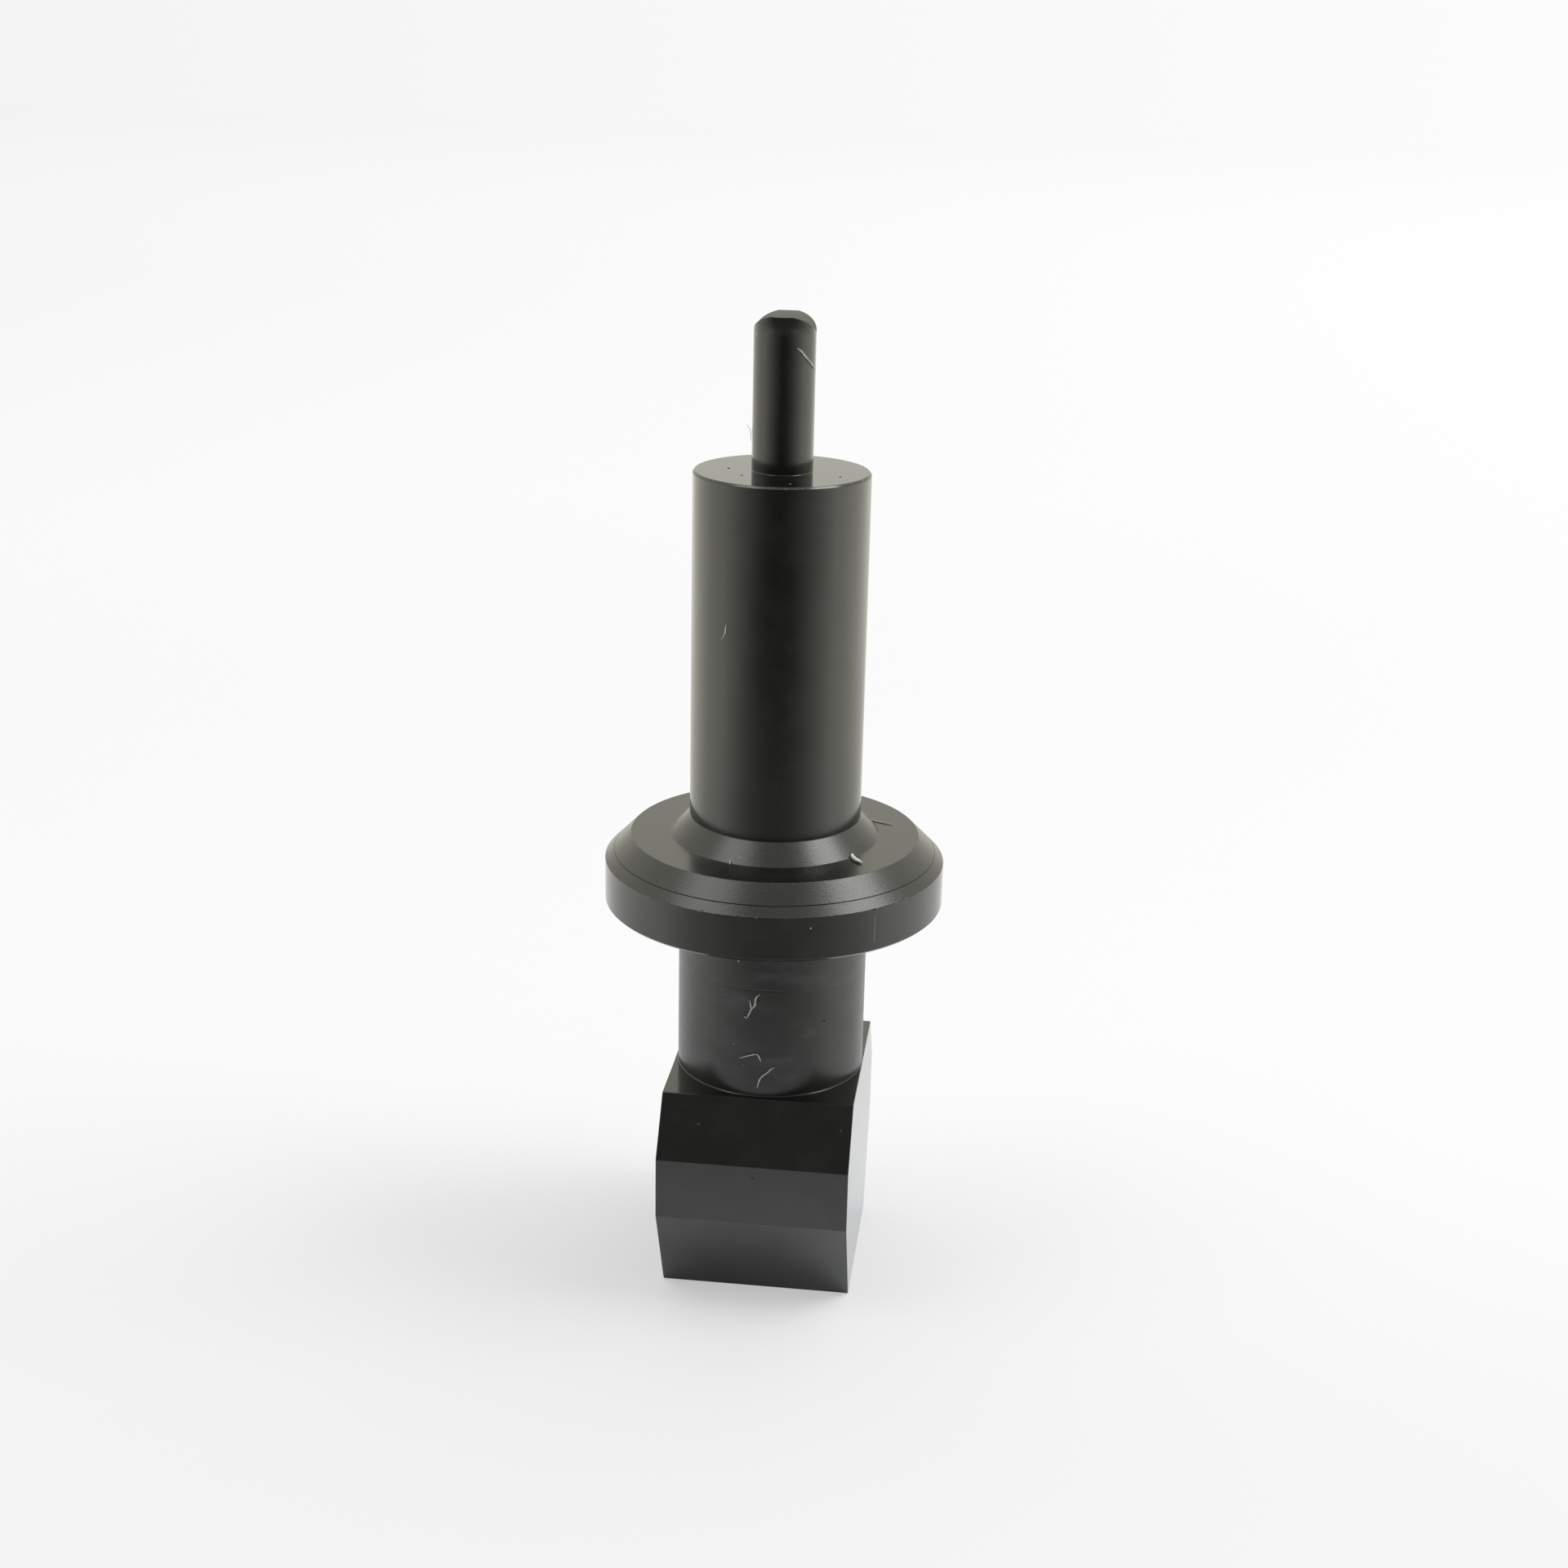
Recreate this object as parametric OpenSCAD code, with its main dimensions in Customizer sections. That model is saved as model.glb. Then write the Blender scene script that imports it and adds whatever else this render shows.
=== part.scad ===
// Vacuum pick-up nozzle with a V-grooved tip.
// One bar of steel: turned from the tip down to the shank, then milled at the head block.
// It stands on the block's base with the tip up. +Z runs along the bore, and X across the block's flats.

/* [Tip] */
// Diameter of the tip pin
tip_d = 1.72; // [1.4:0.02:2.4]
// Length of the tip pin above the barrel's end face
tip_len = 4.29; // [2:0.01:8]
// Diameter of the suction hole in the tip
orifice_d = 0.9; // [0.4:0.05:1.1]
// Included angle of the V-groove across the tip
groove_angle = 120; // [90:1:140]
// Width of the flat land left on each ridge of the groove
groove_land = 0.05; // [0.02:0.01:0.2]

/* [Barrel] */
// Diameter of the barrel
barrel_d = 5; // [4:0.05:7]
// Length of the barrel from the flange's top face to its end face
barrel_len = 10.67; // [6:0.01:20]
// Height of the broken edge round the barrel's end face
barrel_edge = 0.06; // [0.02:0.01:0.3]
// Size of the 45 degree cone at the barrel's foot
foot_cone = 0.56; // [0.2:0.02:0.7]

/* [Flange] */
// Diameter of the flange
flange_d = 9.94; // [9:0.02:14]
// Thickness of the flange at its flat top
flange_t = 2.06; // [1.6:0.02:4]
// Size of the 45 degree chamfer round the flange's top
flange_chamfer = 0.76; // [0.2:0.02:1]
// Size of the broken edge round the flange's underside
flange_edge = 0.07; // [0.02:0.01:0.2]

/* [Shank] */
// Diameter of the shank between the flange and the head block
shank_d = 5.58; // [4.6:0.02:7.5]
// Length of the shank from the block's top face to the flange
shank_len = 5.21; // [3:0.01:10]

/* [Head block] */
// How far each side flat stands clear of the shank, along X
flat_land = 0.025; // [0.02:0.005:0.8]
// How far the block's top face reaches past the shank at the front and back, along Y
top_land = 0.15; // [0.05:0.01:0.8]
// How far each upper facet leans out
upper_run = 1.14; // [0.4:0.02:1.6]
// Height of the upper facets
upper_h = 1.63; // [0.8:0.01:3]
// Height of the upright facets
middle_h = 1.86; // [0.8:0.01:3]
// How far each lower facet leans back in
lower_run = 1.44; // [0.4:0.02:1.6]
// Height of the lower facets
lower_h = 2.94; // [1.5:0.01:5]

/* [Vacuum bore] */
// Diameter of the bore drilled up from the base
bore_d = 2.5; // [1.6:0.05:3]
// Solid length left between the end of the full bore and the barrel's end face
bore_cap = 2.2; // [1.5:0.05:4]
// Included angle of the drill point at the end of the bore
drill_angle = 118; // [90:1:140]
// Size of the chamfer at the mouth of the bore
mouth_chamfer = 0.2; // [0.1:0.02:0.5]

/* [Hidden] */

// Facets of the preview
$fn = 128;

// Length by which a cut runs past the face that it opens
past = 0.5;

// Radii of the turned steps
tip_r = tip_d / 2;
barrel_r = barrel_d / 2;
flange_r = flange_d / 2;
shank_r = shank_d / 2;

// Heights of the block's edges above its base
lower_top = lower_h;
middle_top = lower_top + middle_h;
block_h = middle_top + upper_h;

// Half widths of the block: across the flats, then from front to back at three levels
flat_x = shank_r + flat_land;
top_y = shank_r + top_land;
middle_y = top_y + upper_run;
base_y = middle_y - lower_run;

// Heights of the turned steps above the base
flange_z = block_h + shank_len;
flange_top = flange_z + flange_t;
barrel_top = flange_top + barrel_len;
tip_top = barrel_top + tip_len;

// The turned form starts half way down the upper facets, so that shank and block are one solid
root_z = block_h - upper_h / 2;

// The groove's depth leaves the stated land on each ridge
groove_slope = tan(groove_angle / 2);
groove_depth = (tip_r - groove_land) / groove_slope;
groove_z = tip_top - groove_depth;
groove_over = groove_depth + past;

// The drill point runs from the bore's wall down to the wall of the suction hole
bore_r = bore_d / 2;
orifice_r = orifice_d / 2;
bore_end = barrel_top - bore_cap;
drill_h = (bore_r - orifice_r) / tan(drill_angle / 2);

// Outline of everything that is turned, from the axis outwards
turned_outline = [
    [0, root_z],
    [shank_r, root_z],
    [shank_r, flange_z],
    [flange_r - flange_edge, flange_z],
    [flange_r, flange_z + flange_edge],
    [flange_r, flange_top - flange_chamfer],
    [flange_r - flange_chamfer, flange_top],
    [barrel_r + foot_cone, flange_top],
    [barrel_r, flange_top + foot_cone],
    [barrel_r, barrel_top - barrel_edge],
    [barrel_r - barrel_edge, barrel_top],
    [tip_r, barrel_top],
    [tip_r, tip_top],
    [0, tip_top]
];

// Outline of the head block seen along X: two facets lean out, two stand upright, two lean in
block_outline = [
    [-base_y, 0],
    [base_y, 0],
    [middle_y, lower_top],
    [middle_y, middle_top],
    [top_y, block_h],
    [-top_y, block_h],
    [-middle_y, middle_top],
    [-middle_y, lower_top]
];

// Outline of the bore: mouth chamfer, full bore, drill point and suction hole
bore_outline = [
    [0, -past],
    [bore_r + mouth_chamfer + past, -past],
    [bore_r, mouth_chamfer],
    [bore_r, bore_end],
    [orifice_r, bore_end + drill_h],
    [orifice_r, tip_top + past],
    [0, tip_top + past]
];

// Outline of the V across the tip, seen along X and pointing down
groove_outline = [
    [0, groove_z],
    [groove_over * groove_slope, groove_z + groove_over],
    [-groove_over * groove_slope, groove_z + groove_over]
];

module turned_form() {
    rotate_extrude()
        polygon(turned_outline);
}

// An outline drawn in Y and Z, drawn out along X on both sides of the axis
module across_x(half_length) {
    rotate([90, 0, 90])
        linear_extrude(height = 2 * half_length, center = true)
            children();
}

module head_block() {
    across_x(flat_x)
        polygon(block_outline);
}

module vacuum_bore() {
    rotate_extrude()
        polygon(bore_outline);
}

module tip_groove() {
    across_x(tip_r + past)
        polygon(groove_outline);
}

module nozzle() {
    color([0.10, 0.105, 0.10])
        difference() {
            union() {
                head_block();
                turned_form();
            }
            vacuum_bore();
            tip_groove();
        }
}

nozzle();
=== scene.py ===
from math import cos, pi, radians, sin, tan

import bpy
from mathutils import Matrix, Vector


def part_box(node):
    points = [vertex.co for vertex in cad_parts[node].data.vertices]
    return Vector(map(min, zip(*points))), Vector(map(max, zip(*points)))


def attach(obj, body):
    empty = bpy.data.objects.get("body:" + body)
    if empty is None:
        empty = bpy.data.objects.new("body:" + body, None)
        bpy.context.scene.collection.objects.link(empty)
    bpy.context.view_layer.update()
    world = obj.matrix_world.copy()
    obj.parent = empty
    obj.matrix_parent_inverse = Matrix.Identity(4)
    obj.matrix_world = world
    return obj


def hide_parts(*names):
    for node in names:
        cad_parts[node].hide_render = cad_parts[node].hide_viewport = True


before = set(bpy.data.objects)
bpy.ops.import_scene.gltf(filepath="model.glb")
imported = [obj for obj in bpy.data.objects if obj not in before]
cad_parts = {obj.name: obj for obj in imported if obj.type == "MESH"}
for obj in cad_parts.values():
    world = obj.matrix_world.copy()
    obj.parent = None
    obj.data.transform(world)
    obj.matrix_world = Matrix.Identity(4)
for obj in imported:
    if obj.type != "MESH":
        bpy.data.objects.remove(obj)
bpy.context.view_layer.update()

mm = 0.001


# ---- Camera -----------------------------------------------------------------------------------
# A close view from the front, a little to the right and from above, through a 51 mm lens 71 mm
# from the nozzle's base, with the slight lean of a camera held in the hand.
camera = bpy.data.objects.new("camera", bpy.data.cameras.new("camera"))
bpy.context.collection.objects.link(camera)
camera.data.lens = 51.05
camera.data.sensor_width = 36
camera.data.clip_start = 0.001
camera.data.clip_end = 20
camera_place = (7.211 * mm, -60.911 * mm, 36.104 * mm)
heading, down, lean = radians(6.529), radians(18.862), radians(1.247)
camera.matrix_world = (
    Matrix.Translation(camera_place)
    @ Matrix.Rotation(heading, 4, "Z")
    @ Matrix.Rotation(pi / 2 - down, 4, "X")
    @ Matrix.Rotation(lean, 4, "Z"))
bpy.context.scene.camera = camera


# ---- Nozzle -----------------------------------------------------------------------------------
# One solid bar of steel under a thin black oxide coat. Everything round is turned in one setting,
# the head is milled to two flats and six facets, the bore is drilled up from the base, and a V is
# milled across the tip.
top_corner = Vector(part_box("nozzle")[1])
tip_top, flange_r = top_corner.z, top_corner.x
tip_r, barrel_r, shank_r = 0.86 * mm, 2.5 * mm, 2.79 * mm
block_h, flange_z, flange_top = 6.43 * mm, 11.64 * mm, 13.70 * mm
barrel_top = 24.37 * mm
foot_cone, flange_chamfer = 0.56 * mm, 0.76 * mm
barrel_edge, flange_edge = 0.06 * mm, 0.07 * mm


# The coat is nearly black and half glossy. The lathe left rings on all that is turned, the two
# cones are grainy, the shank is duller, and the coat is thin on the corners and in the V.
class Wire:
    """One output of a shader node. Python's arithmetic on it adds a Math node."""

    def __init__(self, tree, made, out=0):
        self.tree, self.made, self.out = tree, made, out

    @property
    def socket(self):
        return self.made.outputs[self.out]

    def output(self, out):
        """Another output of the same node."""
        return Wire(self.tree, self.made, out)

    def math(self, operation, *values):
        return node(self.tree, "ShaderNodeMath", {"operation": operation}, dict(enumerate(values)))

    def __add__(self, other): return self.math("ADD", self, other)
    def __radd__(self, other): return self.math("ADD", other, self)
    def __sub__(self, other): return self.math("SUBTRACT", self, other)
    def __rsub__(self, other): return self.math("SUBTRACT", other, self)
    def __mul__(self, other): return self.math("MULTIPLY", self, other)
    def __rmul__(self, other): return self.math("MULTIPLY", other, self)
    def __truediv__(self, other): return self.math("DIVIDE", self, other)
    def __rtruediv__(self, other): return self.math("DIVIDE", other, self)
    def __pow__(self, other): return self.math("POWER", self, other)
    def __neg__(self): return self.math("MULTIPLY", self, -1.0)
    def __abs__(self): return self.math("ABSOLUTE", self)

    def over(self, low, high):
        """0 up to low and 1 from high, smooth between, also where high is the smaller one."""
        return node(self.tree, "ShaderNodeMapRange",
                    {"interpolation_type": "SMOOTHSTEP", "clamp": True},
                    dict(enumerate((self, low, high, 0.0, 1.0))))


def node(tree, kind, settings={}, sockets={}, out=0):
    """Adds a node: first its settings, then a value or a wire for each socket named or numbered."""
    made = tree.nodes.new(kind)
    for key, value in settings.items():
        setattr(made, key, value)
    for key, value in sockets.items():
        if isinstance(value, Wire):
            tree.links.new(value.socket, made.inputs[key])
        else:
            made.inputs[key].default_value = value
    return Wire(tree, made, out)


def new_tree(owner):
    """Turns on the nodes of a material or a world and empties them."""
    owner.use_nodes = True
    owner.node_tree.nodes.clear()
    return owner.node_tree


def axes(tree, vector):
    """The X, Y and Z of a vector."""
    parts = node(tree, "ShaderNodeSeparateXYZ", {}, {0: vector})
    return parts, parts.output(1), parts.output(2)


def blend(tree, factor, first, second):
    """A colour between two colours."""
    return node(tree, "ShaderNodeMix", {"data_type": "RGBA"}, {0: factor, 6: first, 7: second}, out=2)


def cloud(tree, vector, scale, detail=2.0, roughness=0.6):
    """Soft noise round 0.5, scale cells to the metre."""
    return node(tree, "ShaderNodeTexNoise", {"noise_dimensions": "3D", "normalize": True},
                {"Vector": vector, "Scale": scale, "Detail": detail, "Roughness": roughness})


steel = bpy.data.materials.new("blackened_steel")
tree = new_tree(steel)
place = node(tree, "ShaderNodeTexCoord", out=3)
x, y, z = axes(tree, place)
radius = (x * x + y * y) ** 0.5
upward = axes(tree, node(tree, "ShaderNodeNewGeometry", out=1))[2]

# Where each finish is. The slope of a face tells the cones, the flat faces and the V apart.
turned = z.over(block_h - 0.01 * mm, block_h + 0.05 * mm)
shank = turned * z.over(flange_z + 0.02 * mm, flange_z - 0.04 * mm)
cones = upward.over(0.3, 0.6) * upward.over(0.95, 0.8) * turned * z.over(20 * mm, 16 * mm)
faces = upward.over(0.95, 0.99) * turned
groove = z.over(28.0 * mm, 28.2 * mm) * upward.over(0.15, 0.5)


# Rings run down the turned walls and out across the turned faces
def stretched(share, down_wall):
    """A place whose X and Y count for less, so that noise there is drawn out round the bar."""
    return node(tree, "ShaderNodeCombineXYZ", {}, {0: x * share, 1: y * share, 2: down_wall})


ring_place = stretched(0.05, z - radius * 0.7)
fine_rings = cloud(tree, ring_place, 26000.0)
broad_rings = cloud(tree, ring_place, 5200.0, 3.0, 0.7)
rubbed = cloud(tree, stretched(0.35, z), 1900.0, 3.0)
streaks = cloud(tree, stretched(0.22, z - radius), 17000.0)
grain = cloud(tree, place, 16000.0)
mottle = cloud(tree, place, 1100.0, 4.0)


def corner(corner_r, corner_z, width):
    """1 on the turned corner at that radius and height, 0 from the given width away."""
    across, along = radius - corner_r, z - corner_z
    return ((across * across + along * along) ** 0.5).over(width, width * 0.5)


# A light scratch runs down the rim, in the upright plane at that angle right of the front
scratch_turn = radians(41.5)
off_plane = abs(x * cos(scratch_turn) + y * sin(scratch_turn))
scratch = (off_plane.over(0.014 * mm, 0.004 * mm) * radius.over(4.90 * mm, 4.95 * mm)
           * (-y).over(0.0, 1.0 * mm)
           * z.over(11.88 * mm, 12.0 * mm) * z.over(12.80 * mm, 12.68 * mm))

# The coat is chipped along three corners, and thin in the V
chips = cloud(tree, place, 7000.0, 3.0, 0.7)
barrel_rim = corner(barrel_r - barrel_edge / 2, barrel_top - barrel_edge / 2, 0.04 * mm)
chamfer_top = corner(flange_r - flange_chamfer, flange_top, 0.04 * mm)
chamfer_foot = corner(flange_r, flange_top - flange_chamfer, 0.045 * mm)
wear = (barrel_rim * chips.over(0.50, 0.64) * 0.13 + chamfer_top * chips.over(0.56, 0.70) * 0.12
        + chamfer_foot * chips.over(0.56, 0.68) * 0.18 + groove * (0.17 + chips * 0.12)
        + scratch * 0.35)

deep_black, pale_black = (0.0072, 0.0073, 0.0074, 1), (0.0128, 0.0130, 0.0128, 1)
rubbed_black, bare_steel = (0.0320, 0.0324, 0.0340, 1), (0.45, 0.44, 0.41, 1)
black = blend(tree, mottle.over(0.35, 0.7), deep_black, pale_black)
black = blend(tree, rubbed.over(0.45, 0.75) * shank, black, rubbed_black)
coat = blend(tree, wear, black, bare_steel)

# The barrel's end face is polished, and the flange's is duller than the walls
polished = z.over(18 * mm, 20 * mm)
gloss = (0.06 + grain * 0.06 + mottle * 0.05 + turned * 0.04 + cones * 0.12
         + shank * (0.11 + rubbed * 0.13) + faces * (0.07 - polished * 0.19) + wear * 0.15)

# A line is scored part of the way round the shank
scored_z = 9.80 * mm
scored = (shank * abs(z - scored_z + x * 0.01).over(0.03 * mm, 0.005 * mm)
          * x.over(0.9 * mm, 0.2 * mm))
relief = ((fine_rings * 0.5 + broad_rings * 0.5) * (turned - faces * 0.8)
          + grain * (0.3 + cones * 1.7) + streaks * cones * 2.0 - scored * 5.0)
bump = node(tree, "ShaderNodeBump", {}, {
    "Strength": 0.35, "Distance": 0.004 * mm, "Height": relief})

surface = node(tree, "ShaderNodeBsdfPrincipled", {}, {
    "IOR": 1.65, "Specular Tint": (1.0, 1.0, 0.985, 1),
    "Base Color": coat, "Roughness": gloss, "Metallic": wear, "Normal": bump})
node(tree, "ShaderNodeOutputMaterial", {}, {0: surface})


# The bar. A fine line is scribed round the flange's chamfer, and small rounds break its corners.
score_r = 4.708 * mm
score_z = flange_top - flange_chamfer + flange_r - score_r
score_w, score_d = 0.010 * mm, 0.013 * mm
small, root, sink = 0.012 * mm, 0.05 * mm, 0.004 * mm

# Radius, height and round of each corner, from the root inside the block up to the tip. The
# round at the shank's foot starts a hair below the block's top, so that the two cross cleanly.
root_r, root_low, root_high = shank_r - 0.4 * mm, 5.6 * mm, 6.2 * mm
outline = [
    (root_r, root_low, 0), (root_r, root_high, 0),
    (shank_r + 2 * root, block_h - sink, 0), (shank_r, block_h - sink, root),
    (shank_r, flange_z, small),
    (flange_r - flange_edge, flange_z, small), (flange_r, flange_z + flange_edge, small),
    (flange_r, flange_top - flange_chamfer, small),
    (score_r + score_w, score_z - score_w, 0.004 * mm),
    (score_r - score_d, score_z - score_d, 0.004 * mm),
    (score_r - score_w, score_z + score_w, 0.004 * mm),
    (flange_r - flange_chamfer, flange_top, small), (barrel_r + foot_cone, flange_top, small),
    (barrel_r, flange_top + foot_cone, small), (barrel_r, barrel_top - barrel_edge, small),
    (barrel_r - barrel_edge, barrel_top, small), (tip_r, barrel_top, 0.022 * mm),
    (tip_r, tip_top - 0.55 * mm, 0), (tip_r, tip_top, 0)]


def rounded(corners):
    """The outline as radii and heights. Each corner that has a round is broken by it in three
    steps, with a further ring on both sides, so that the walls next to it shade straight."""
    steps = []
    for i, (r, h, size) in enumerate(corners):
        if not size:
            steps.append((r, h))
            continue
        before, at, after = (Vector(corners[j][:2]) for j in (i - 1, i, i + 1))
        start = at + (before - at).normalized() * size
        end = at + (after - at).normalized() * size
        steps.append(tuple(at.lerp(start, 1.8)))
        for t in (0.0, 1 / 3, 2 / 3, 1.0):
            steps.append(tuple(start.lerp(at, t).lerp(at.lerp(end, t), t)))
        steps.append(tuple(at.lerp(end, 1.8)))
    return steps


def deselect():
    """Leaves edit mode and selects nothing."""
    if bpy.context.object and bpy.context.object.mode != "OBJECT":
        bpy.ops.object.mode_set(mode="OBJECT")
    bpy.ops.object.select_all(action="DESELECT")


def edit_all(piece):
    """Goes into edit mode with the whole of a piece selected."""
    deselect()
    bpy.context.view_layer.objects.active = piece
    piece.select_set(True)
    bpy.ops.object.mode_set(mode="EDIT")
    bpy.ops.mesh.select_all(action="SELECT")


def turned_bar(name, steps, sides=256):
    """A bar turned to the radii and heights in steps, with a flat face at both ends."""
    deselect()
    bpy.ops.mesh.primitive_circle_add(vertices=sides, radius=steps[0][0], fill_type="NGON",
                                      location=(0, 0, steps[0][1]))
    bar = bpy.context.object
    bar.name = name
    bpy.ops.object.transform_apply(location=True, rotation=True, scale=True)
    edit_all(bar)
    for (r0, z0), (r1, z1) in zip(steps, steps[1:]):
        bpy.ops.mesh.extrude_region_move(TRANSFORM_OT_translate={"value": (0, 0, z1 - z0)})
        bpy.ops.transform.resize(value=(r1 / r0, r1 / r0, 1), center_override=(0, 0, z1))
    bpy.ops.mesh.select_all(action="SELECT")
    bpy.ops.mesh.normals_make_consistent(inside=False)
    deselect()
    return bar


def box(name, sides, centre, turn_x=0.0):
    """A box of the given sides about its centre, turned about X."""
    deselect()
    bpy.ops.mesh.primitive_cube_add(size=1, location=centre, rotation=(turn_x, 0, 0))
    made = bpy.context.object
    made.name = name
    made.scale = sides
    bpy.ops.object.transform_apply(location=True, rotation=True, scale=True)
    return made


def combine(piece, other, operation):
    """Joins other to piece or cuts it away, and removes other."""
    deselect()
    bpy.context.view_layer.objects.active = piece
    piece.select_set(True)
    modifier = piece.modifiers.new("combine", "BOOLEAN")
    modifier.operation, modifier.solver, modifier.object = operation, "EXACT", other
    bpy.ops.object.modifier_apply(modifier="combine")
    bpy.data.objects.remove(other)


nozzle = turned_bar("nozzle_body", rounded(outline))

# The V across the tip: a square bar on its edge, widened to the V's 120 degrees
half_v, land, cutter_h = radians(60), 0.05 * mm, 1.2 * mm
groove_z = tip_top - (tip_r - land) / tan(half_v)
cutter_z = groove_z + cutter_h
cutter_side = cutter_h * 2 ** 0.5
groove_cutter = box("groove_cutter", (3 * mm, cutter_side, cutter_side), (0, 0, cutter_z), radians(45))
edit_all(groove_cutter)
bpy.ops.transform.resize(value=(1, tan(half_v), 1), center_override=(0, 0, cutter_z))
combine(nozzle, groove_cutter, "DIFFERENCE")

# Handling has rounded the ridges on both sides of the V, where the wall meets the cut
ridge_round = 0.03 * mm
edit_all(nozzle)
bpy.ops.mesh.select_all(action="DESELECT")
bpy.ops.mesh.select_mode(type="EDGE")
bpy.ops.object.mode_set(mode="OBJECT")
mesh = nozzle.data
slopes = {edge: [] for edge in range(len(mesh.edges))}
edge_of = {tuple(sorted(e.vertices)): e.index for e in mesh.edges}
for polygon in mesh.polygons:
    for key in polygon.edge_keys:
        slopes[edge_of[key]].append(polygon.normal.z)
for edge in mesh.edges:
    heights = [mesh.vertices[v].co.z for v in edge.vertices]
    radii = [mesh.vertices[v].co.xy.length for v in edge.vertices]
    wall_and_cut = min(slopes[edge.index]) < 0.1 and max(slopes[edge.index]) > 0.5
    edge.select = min(heights) > groove_z - 0.01 * mm and min(radii) > tip_r * 0.99 and wall_and_cut
bpy.ops.object.mode_set(mode="EDIT")
bpy.ops.mesh.bevel(offset=ridge_round, segments=3, affect="EDGES", clamp_overlap=True)
deselect()

# The head block: a box cut back to the facets and joined to the bar. The round at the shank's
# foot is then cut off where it stands out past the flats.
flat_x, top_y, middle_y, base_y = 2.815 * mm, 2.94 * mm, 4.08 * mm, 2.64 * mm
lower_top, middle_top = 2.94 * mm, 4.80 * mm
edge_break, clear = 0.02 * mm, 0.001 * mm
facets = (((middle_y, middle_top), (top_y, block_h)), ((base_y, 0), (middle_y, lower_top)))
block = box("head_block", (2 * flat_x, 2 * middle_y, block_h), (0, 0, block_h / 2))
edit_all(block)
for way in (-1, 1):
    for start, end in facets:
        outward = Vector((0, way * (end[1] - start[1]), start[0] - end[0])).normalized()
        bpy.ops.mesh.select_all(action="SELECT")
        bpy.ops.mesh.bisect(plane_co=(0, way * start[0], start[1]), plane_no=outward,
                            threshold=1e-7, use_fill=True, clear_outer=True)
bpy.ops.mesh.select_all(action="SELECT")
bpy.ops.mesh.normals_make_consistent(inside=False)
bpy.ops.mesh.bevel(offset=edge_break, segments=2, affect="EDGES")
combine(nozzle, block, "UNION")
for way in (-1, 1):
    combine(nozzle, box("flat_cutter", (1 * mm, 3 * mm, 1.4 * mm),
                        (way * (flat_x + clear + 0.5 * mm), 0, 5.9 * mm)), "DIFFERENCE")

# The bore, drilled from the base with a 118 degree point, and the suction hole up through the V.
# The cutter runs past both ends.
bore_r, orifice_r, bore_end, mouth = 1.25 * mm, 0.45 * mm, barrel_top - 2.2 * mm, 0.2 * mm
drill_h, past = (bore_r - orifice_r) / tan(radians(59)), 0.5 * mm
combine(nozzle, turned_bar("bore_cutter", [
    (bore_r + mouth + past, -past), (bore_r, mouth), (bore_r, bore_end),
    (orifice_r, bore_end + drill_h), (orifice_r, tip_top + past)], 96), "DIFFERENCE")

# Wide faces shade flat up to their rounded edges: only areas closer than thresh, in square
# metres, count as equal
deselect()
bpy.context.view_layer.objects.active = nozzle
nozzle.select_set(True)
bpy.ops.object.shade_smooth_by_angle(angle=radians(32))
weights = nozzle.modifiers.new("weights", "WEIGHTED_NORMAL")
weights.keep_sharp = True
weights.weight = 100
weights.thresh = 1e-10
bpy.ops.object.modifier_apply(modifier="weights")
nozzle.data.materials.clear()
nozzle.data.materials.append(steel)
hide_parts("nozzle")
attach(nozzle, "root")


# ---- Lint -------------------------------------------------------------------------------------
# A few fibres of pale lint, most of them as thick as a hair, cling to the pin, the barrel, the
# shank and the flange, and a white flake lies on the flange. Each is a tube laid on the surface,
# thinner towards its ends.
def lint(name, dark, light):
    """A matt material, clouded between two colours."""
    made = bpy.data.materials.new(name)
    tree = new_tree(made)
    fluff = cloud(tree, node(tree, "ShaderNodeTexCoord", out=3), 12000.0)
    surface = node(tree, "ShaderNodeBsdfPrincipled", {}, {
        "Base Color": blend(tree, fluff.over(0.3, 0.7), dark, light),
        "Roughness": 0.6 + fluff * 0.3})
    node(tree, "ShaderNodeOutputMaterial", {}, {0: surface})
    return made


def round_the(radius_mm, *points):
    """Points on an upright wall, each from its degrees right of the front and its height in mm."""
    return [(radius_mm * mm * sin(radians(a)), -radius_mm * mm * cos(radians(a)), h * mm)
            for a, h in points]


def on_face(height_mm, *points):
    """Points on a level face, each from its X and Y in mm."""
    return [(px * mm, py * mm, height_mm * mm) for px, py in points]


def fibre(name, points, width, ends=0.4):
    """A smooth tube through the points, in mm across, whose ends are the given share as thick."""
    deselect()
    bpy.ops.curve.primitive_nurbs_path_add()
    thread = bpy.context.object
    thread.name = name
    thread.data.splines.clear()
    spline = thread.data.splines.new("NURBS")
    spline.points.add(len(points) - 1)
    for i, (point, where) in enumerate(zip(spline.points, points)):
        point.co = (*where, 1)
        point.radius = ends if i in (0, len(points) - 1) else 1.0
    spline.use_endpoint_u = True
    spline.order_u = 3
    spline.resolution_u = 6
    thread.data.bevel_depth = width / 2 * mm
    thread.data.bevel_resolution = 2
    thread.data.use_fill_caps = True
    bpy.ops.object.convert(target="MESH")
    bpy.ops.object.transform_apply(location=True, rotation=True, scale=True)
    edit_all(bpy.context.object)
    bpy.ops.mesh.remove_doubles(threshold=1e-7)
    bpy.ops.mesh.normals_make_consistent(inside=False)
    bpy.ops.object.mode_set(mode="OBJECT")
    bpy.ops.object.shade_smooth()
    return bpy.context.object


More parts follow.
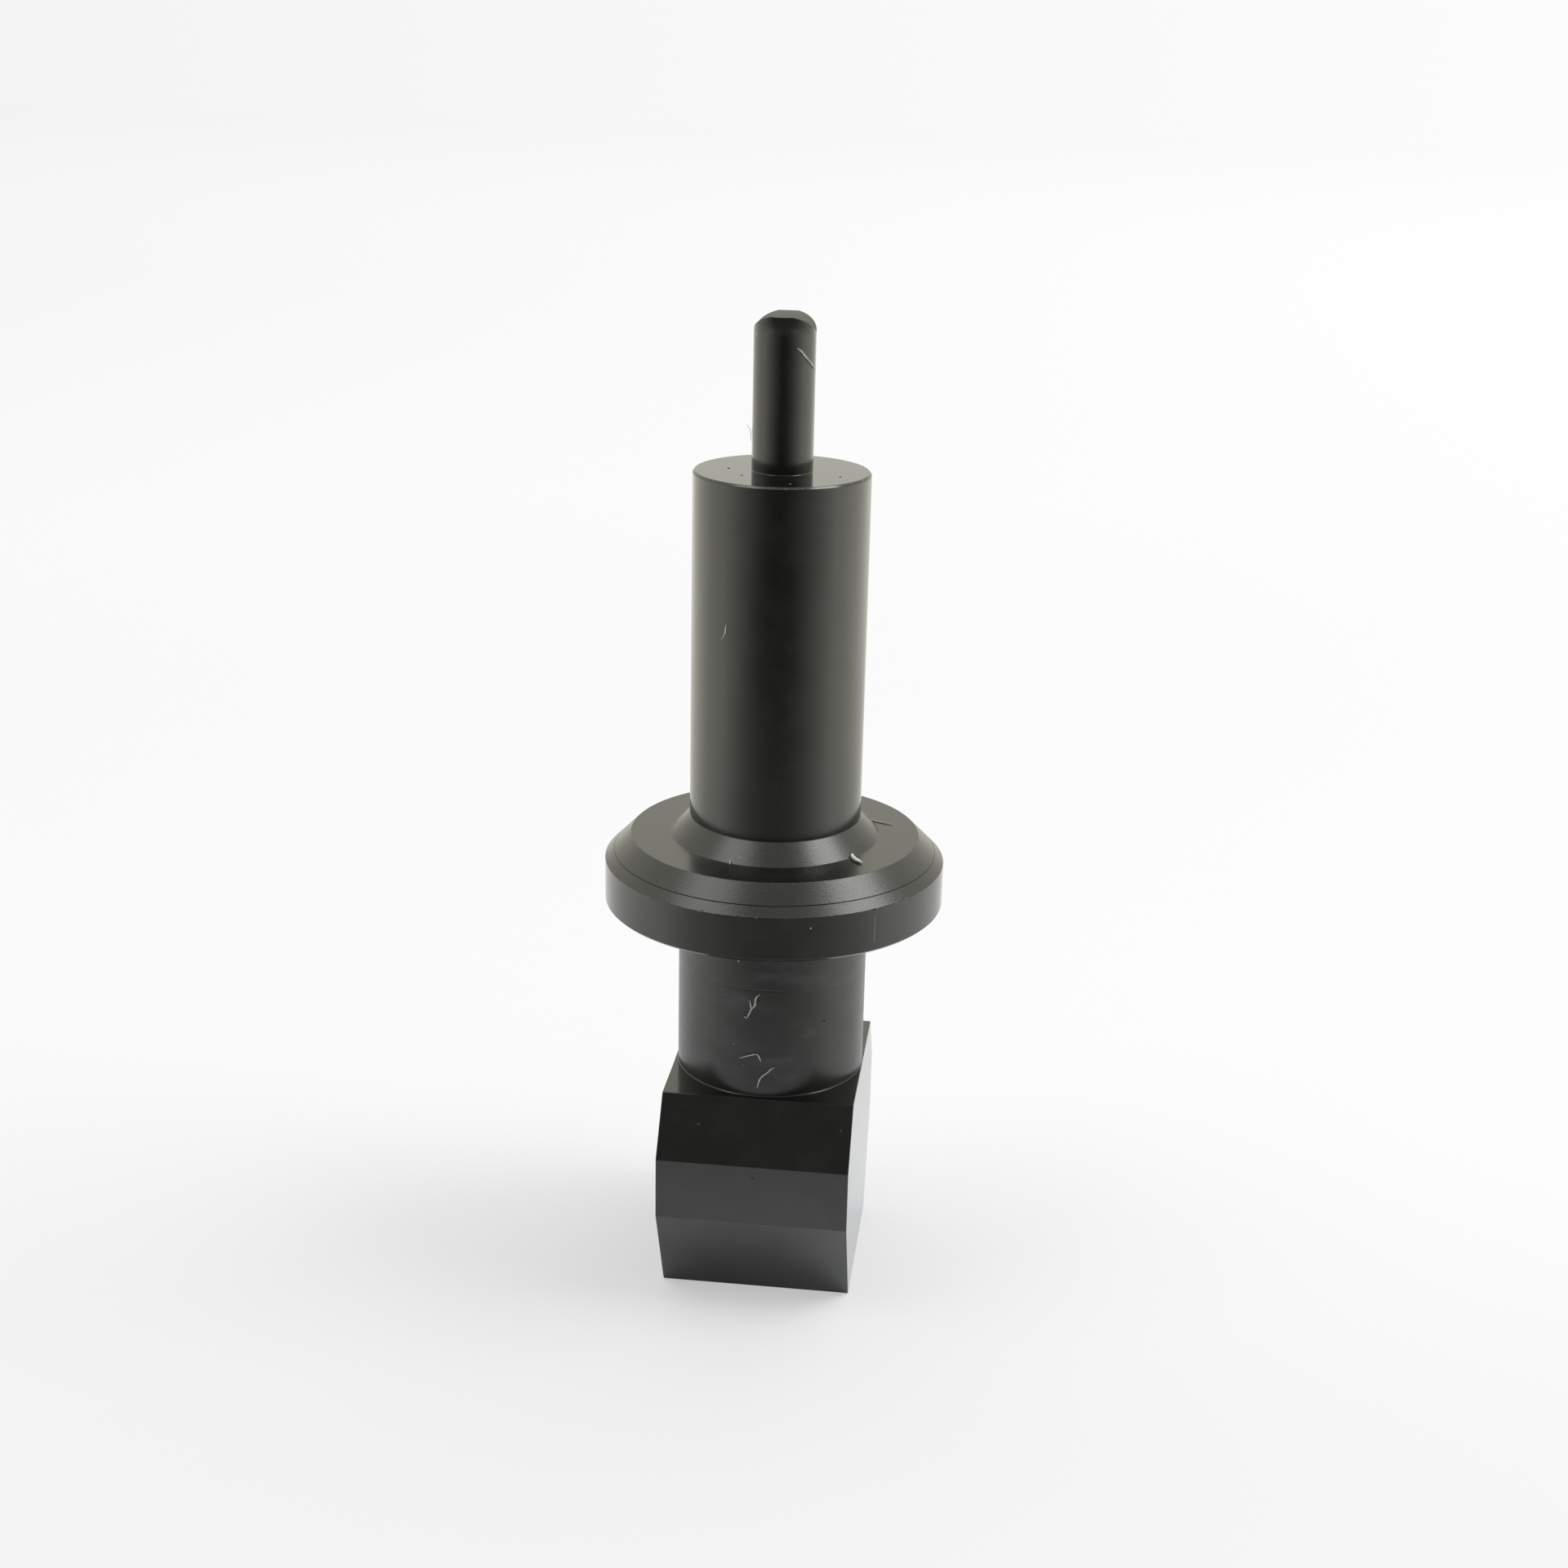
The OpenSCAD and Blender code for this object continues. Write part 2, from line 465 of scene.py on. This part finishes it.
threads = [
    fibre("pin_fibre", round_the(
        0.885, (29, 27.84), (36, 27.79), (43, 27.66), (54, 27.50), (67, 27.34), (75, 27.24)), 0.055),
    fibre("pin_hair", round_the(0.90, (-70, 25.20), (-76, 25.36), (-84, 25.50))
          + round_the(1.02, (-84, 25.62)), 0.016),
    fibre("barrel_fibre", round_the(
        2.51, (-28.6, 20.46), (-29.2, 20.30), (-29.3, 20.20), (-30.6, 20.09), (-32.6, 19.98)), 0.045),
    fibre("shank_fibre_upper", round_the(
        2.81, (0, 9.69), (-2, 9.63), (-2.9, 9.50), (-2.8, 9.32), (-5, 9.23), (-6.4, 9.04),
        (-8.3, 8.87), (-9.4, 8.98)), 0.052),
    fibre("shank_fibre_branch", round_the(
        2.81, (-6.1, 9.50), (-5.5, 9.32), (-5, 9.20), (-6.2, 9.06)), 0.050),
    fibre("shank_fibre_middle", round_the(
        2.81, (-11.5, 7.61), (-8, 7.69), (-4.5, 7.75), (-1.1, 7.81), (0.4, 7.68), (1.2, 7.58)),
        0.046, 0.7),
    fibre("shank_fibre_lower", round_the(
        2.81, (9.5, 7.37), (7.8, 7.38), (5.9, 7.24), (3, 7.14), (1.1, 7.04), (0, 6.88),
        (-0.7, 6.71)), 0.045),
    fibre("flange_flake", on_face(
        13.75, (2.44, -1.60), (2.43, -1.86), (2.54, -2.07), (2.65, -2.21), (2.78, -2.29)),
        0.120, 0.15),
    fibre("flange_fibre", on_face(
        13.72, (2.69, 1.48), (2.80, 1.32), (2.93, 1.27), (3.18, 1.15), (3.40, 1.08)), 0.030),
    fibre("cone_sliver", on_face(13.80, (-0.91, -2.89)) + on_face(13.75, (-0.905, -2.96))
          + on_face(13.72, (-0.90, -3.04)), 0.040, 0.6)]
pale = lint("pale_lint", (0.30, 0.305, 0.27, 1), (0.54, 0.55, 0.50, 1))
white = lint("white_flake", (0.84, 0.85, 0.80, 1), (0.93, 0.94, 0.90, 1))
dim = lint("dim_dust", (0.13, 0.13, 0.12, 1), (0.22, 0.22, 0.20, 1))
for thread in threads:
    thread.data.materials.clear()
    thread.data.materials.append(white if thread.name.startswith("flange") else pale)
    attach(thread, "root")


# ---- Dust -------------------------------------------------------------------------------------
# Specks of dust lie flat on the steel: pale, dim and dark ones. Each is a flattened ball 0.03 to
# 0.11 mm across, and those of one colour make up one piece.
facet_tilt, speck_thick = 55, 0.03


def speck(where, tilt, turn, width, height):
    """A flat speck, that wide and high in mm, tilted from level and turned right of the front."""
    deselect()
    bpy.ops.mesh.primitive_ico_sphere_add(
        subdivisions=2, radius=0.5 * mm, location=where, rotation=(radians(tilt), 0, radians(turn)))
    made = bpy.context.object
    made.scale = (width, height, speck_thick)
    bpy.ops.object.transform_apply(location=True, rotation=True, scale=True)
    bpy.ops.object.shade_smooth()
    return made


def on_wall(radius_mm, turn, height_mm, width, height, tilt=90):
    """A speck on a turned wall, or on a cone where a tilt is given."""
    return speck(round_the(radius_mm, (turn, height_mm))[0], tilt, turn, width, height)


def on_level(px, py, height_mm, width, height, tilt=0, turn=0):
    """A speck on a flat face."""
    return speck(on_face(height_mm, (px, py))[0], tilt, turn, width, height)


def dust(name, specks, material):
    """Joins specks to one piece."""
    deselect()
    for made in specks:
        made.select_set(True)
    bpy.context.view_layer.objects.active = specks[0]
    bpy.ops.object.join()
    piece = specks[0]
    piece.name = name
    piece.data.materials.clear()
    piece.data.materials.append(material)
    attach(piece, "root")


dust("pale_dust", [
    on_wall(0.86, -56, 28.15, 0.11, 0.08),
    on_level(0.45, -1.93, 24.37, 0.04, 0.04, turn=13),
    on_wall(2.90, -12.5, 13.86, 0.08, 0.06, 45),
    on_wall(4.97, 18.8, 12.64, 0.05, 0.05),
    on_wall(2.79, -13.4, 10.65, 0.05, 0.05)], pale)
dust("dim_dust", [
    on_wall(4.94, -16.7, 13.00, 0.06, 0.04, 60),
    on_wall(4.94, -14.2, 12.97, 0.09, 0.03, 60),
    on_wall(4.94, -29.6, 13.00, 0.05, 0.04, 60),
    on_wall(2.79, -15.8, 8.03, 0.08, 0.04),
    on_wall(2.79, -9.6, 7.40, 0.05, 0.04),
    on_level(-1.65, -3.43, 5.73, 0.045, 0.035, facet_tilt),
    on_level(2.51, -3.37, 5.81, 0.045, 0.035, facet_tilt)], dim)
dust("dark_dust", [
    on_level(-1.5, -0.06, 24.37, 0.09, 0.06, turn=30),
    on_level(-1.0, -1.0, 24.37, 0.07, 0.05, turn=-20),
    on_level(1.68, -0.62, 24.37, 0.08, 0.06, turn=60),
    on_wall(4.965, 27.5, 12.94, 0.07, 0.05, 65),
    on_wall(4.965, 41.0, 12.94, 0.08, 0.05, 65),
    on_wall(2.79, 40.6, 8.68, 0.08, 0.07),
    on_level(0.03, -4.08, 4.45, 0.10, 0.06, tilt=90)],
    lint("dark_lint", (0.010, 0.010, 0.010, 1), (0.022, 0.021, 0.020, 1)))


# ---- Floor, light and reflections ---------------------------------------------------------------
# White card under and behind the nozzle inside a light tent: soft light from all round, more of it
# from the right, and two lamps high on both sides. As the camera sees it, the card partly glows with
# painted light. In reflections it carries a painted glow, a little warm, and cool close to the block.
# The dark of the camera in front is a sheet of painted shade that only reflections see.
towards_camera = Vector((sin(heading), -cos(heading)))
warm, cool = (1.0, 0.985, 0.86, 1), (0.90, 0.95, 1.0, 1)


def glow(tree, colour, strength):
    """Light given off in that colour."""
    return node(tree, "ShaderNodeEmission", {}, {0: colour, 1: strength})


deselect()
bpy.ops.mesh.primitive_plane_add(size=1.6, location=(0, 0, -0.02 * mm))
floor = bpy.context.object
floor.name = "floor"
bpy.ops.object.transform_apply(location=True, rotation=True, scale=True)
card = bpy.data.materials.new("white_card")
tree = new_tree(card)
side, ahead, _ = axes(tree, node(tree, "ShaderNodeTexCoord", out=3))
rays = node(tree, "ShaderNodeLightPath")
seen, mirrored = rays, rays.output(3)
away = (side * side + ahead * ahead) ** 0.5
across_view = side / (abs(ahead) + 61 * mm)
# Painted light: the camera sees the card glow, brighter behind the nozzle and to the right, dimmer in
# front and far back. Near the nozzle it glows for half, which makes the nozzle's shadow there paler.
pale = (0.87 + ahead.over(-12 * mm, 12 * mm) * 0.105 - ahead.over(300 * mm, 790 * mm) * 0.029
        + across_view * (0.025 + away.over(20 * mm, 300 * mm) * 0.09))
share = seen * (0.5 + away.over(25 * mm, 120 * mm) * 0.5)
# Painted reflection: in reflections only, the paper turns warm from 15 to 60 mm out.
white_paper, mirrored_warm_tint = (0.90, 0.90, 0.90, 1), (0.90, 0.885, 0.79, 1)
paper = node(tree, "ShaderNodeBsdfDiffuse", {}, {
    0: blend(tree, mirrored * away.over(15 * mm, 60 * mm), white_paper, mirrored_warm_tint)})
lit = node(tree, "ShaderNodeMixShader", {}, {0: share, 1: paper, 2: glow(tree, (1, 1, 1, 1), pale)})
# Painted reflection: the card glows for reflection rays only, to both sides, behind and close round
# the block, more on its right. The glow is cool near the block and warm further out.
painted_glow = mirrored * (abs(side).over(15 * mm, 60 * mm) * 0.45 + ahead.over(5 * mm, 25 * mm) * 0.12
                     + away.over(14 * mm, 4 * mm) * (0.13 + side.over(0.0, 3 * mm) * 0.09))
painted_glow_colour = blend(tree, away.over(8 * mm, 22 * mm), cool, warm)
both = node(tree, "ShaderNodeAddShader", {}, {0: lit, 1: glow(tree, painted_glow_colour, painted_glow)})
node(tree, "ShaderNodeOutputMaterial", {}, {0: both})
floor.data.materials.append(card)

world = bpy.data.worlds.new("tent")
bpy.context.scene.world = world
tree = new_tree(world)
right, forward, _ = axes(tree, node(tree, "ShaderNodeTexCoord", out=0))
rays = node(tree, "ShaderNodeLightPath")
seen, scattered, mirrored = rays, rays.output(2), rays.output(3)
from_camera = right * towards_camera.x + forward * towards_camera.y
tent = 0.12 + from_camera.over(0.85, -0.15) * 0.9
strength = (tent * (1 - seen) * (1 + scattered * right * 0.5)
            + seen * (0.949 + right / (abs(forward) + 0.02) * 0.112))
background = node(tree, "ShaderNodeBackground", {}, {
    0: blend(tree, mirrored, (1, 1, 1, 1), warm), 1: strength})
node(tree, "ShaderNodeOutputWorld", {}, {0: background})


aim_z = 12 * mm


def softbox(name, direction, distance, size, power):
    """A round lamp that far from the nozzle in that direction, facing it at the height aim_z."""
    lamp = bpy.data.lights.new(name, "AREA")
    lamp.shape, lamp.size, lamp.energy = "DISK", size, power
    made = bpy.data.objects.new(name, lamp)
    bpy.context.collection.objects.link(made)
    towards = Vector(direction).normalized()
    made.matrix_world = (Matrix.Translation(towards * distance + Vector((0, 0, aim_z)))
                         @ towards.to_track_quat("Z", "Y").to_matrix().to_4x4())


softbox("lamp_right", (0.585, 0.03, 0.81), 0.30, 0.15, 0.28)
softbox("lamp_left", (-0.47, -0.23, 0.85), 0.30, 0.15, 0.12)

# Painted shade: a black sheet lies in front of the nozzle, a stand-in for the camera's shade on the
# card. Only reflections see it, and it fades in from clear near the nozzle to dark below the camera.
deselect()
bpy.ops.mesh.primitive_plane_add(size=0.6, location=(0, -0.3, 0.02 * mm))
painted_shade_sheet = bpy.context.object
painted_shade_sheet.name = "painted_shade_sheet"
bpy.ops.object.transform_apply(location=True, rotation=True, scale=True)
dark = bpy.data.materials.new("painted_camera_shade")
tree = new_tree(dark)
side, ahead, _ = axes(tree, node(tree, "ShaderNodeTexCoord", out=3))
away = (side * side + ahead * ahead) ** 0.5
facing = (side * towards_camera.x + ahead * towards_camera.y) / away
in_front = node(tree, "ShaderNodeMapRange", {"clamp": True}, {0: facing, 1: 0.25, 2: 1.0})
cover = (in_front
         * (away.over(6 * mm, 26 * mm) * 0.72 + away.over(30 * mm, 80 * mm) * 0.22))
veil = node(tree, "ShaderNodeMixShader", {}, {
    0: cover, 1: node(tree, "ShaderNodeBsdfTransparent"),
    2: node(tree, "ShaderNodeBsdfDiffuse", {}, {0: (0, 0, 0, 1)})})
node(tree, "ShaderNodeOutputMaterial", {}, {0: veil})
painted_shade_sheet.data.materials.append(dark)
painted_shade_sheet.visible_camera = False
painted_shade_sheet.visible_diffuse = False
painted_shade_sheet.visible_shadow = False

bpy.context.scene.view_settings.view_transform = "Standard"
